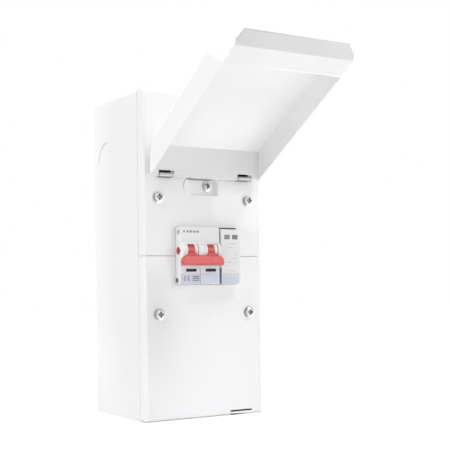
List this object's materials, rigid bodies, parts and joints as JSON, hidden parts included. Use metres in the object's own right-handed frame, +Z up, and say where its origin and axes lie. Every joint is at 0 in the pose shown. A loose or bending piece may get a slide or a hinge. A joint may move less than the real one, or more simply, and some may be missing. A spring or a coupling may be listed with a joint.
{
  "type": "consumer unit",
  "caption": "Small wall-mounted steel consumer unit with a hinged flap lid over a main switch and a surge protection device on a rail.",
  "frame": {"origin": "centre of the four wall-fixing holes, on the outside of the back wall", "axes": "+X to the right as seen from the front, +Y into the wall, +Z up"},
  "size_m": [0.107, 0.2215, 0.2744],
  "materials": {
    "white_paint": "satin powder coat",
    "hook_steel": "dull zinc plate",
    "zinc_steel": "bright zinc plate",
    "case_plastic": "fine satin moulding",
    "handle_red": "smooth moulding",
    "window_black": "smooth",
    "window_grey": "smooth",
    "clip_plastic": "satin moulding",
    "terminal_brass": "drawn"
  },
  "bodies": {
    "box": {"back_tray": "white_paint", "upper_cover": "white_paint", "lower_cover": "white_paint", "hinge_hooks": "hook_steel", "cover_screws": "zinc_steel", "bonding_screw": "zinc_steel", "bonding_nut": "zinc_steel", "cover_lugs": "zinc_steel", "din_rail": "zinc_steel", "rail_brackets": "zinc_steel", "rail_screws": "zinc_steel", "switch_rivets": "zinc_steel", "switch_terminal_screws": "zinc_steel", "surge_terminal_screws": "zinc_steel", "earth_bar_brackets": "zinc_steel", "earth_bar_fixings": "zinc_steel", "switch_case_left": "case_plastic", "switch_case_right": "case_plastic", "surge_case": "case_plastic", "switch_windows": "window_black", "surge_windows": "window_grey", "switch_clamps": "terminal_brass", "surge_clamps": "terminal_brass", "earth_bar": "terminal_brass", "earth_bar_screws": "terminal_brass"},
    "lid": {"flap_lid": "white_paint"},
    "handle": {"lever_left": "handle_red", "lever_right": "handle_red", "tie_bar": "handle_red"},
    "clip_left": {"switch_clip_left": "clip_plastic"},
    "clip_right": {"switch_clip_right": "clip_plastic"},
    "clip_surge": {"surge_clip": "clip_plastic"}
  },
  "joints": [
    {"name": "lid_hinge", "type": "hinge", "parent": "box", "child": "lid", "pos_m": [0, -0.095, 0.0626], "axis": [1, 0, 0], "range_deg": [-10, 121]},
    {"name": "switch_handle", "type": "hinge", "parent": "box", "child": "handle", "pos_m": [0, -0.0951, 0.0038], "axis": [-1, 0, 0], "range_deg": [0, 74]},
    {"name": "clip_left_slide", "type": "slide", "parent": "box", "child": "clip_left", "axis": [0, 0, -1], "range_m": [0, 0.0035], "stiffness_N_per_m": 800, "springref_m": -0.002},
    {"name": "clip_right_slide", "type": "slide", "parent": "box", "child": "clip_right", "axis": [0, 0, -1], "range_m": [0, 0.0035], "stiffness_N_per_m": 800, "springref_m": -0.002},
    {"name": "clip_surge_slide", "type": "slide", "parent": "box", "child": "clip_surge", "axis": [0, 0, -1], "range_m": [0, 0.0035], "stiffness_N_per_m": 800, "springref_m": -0.002}
  ]
}
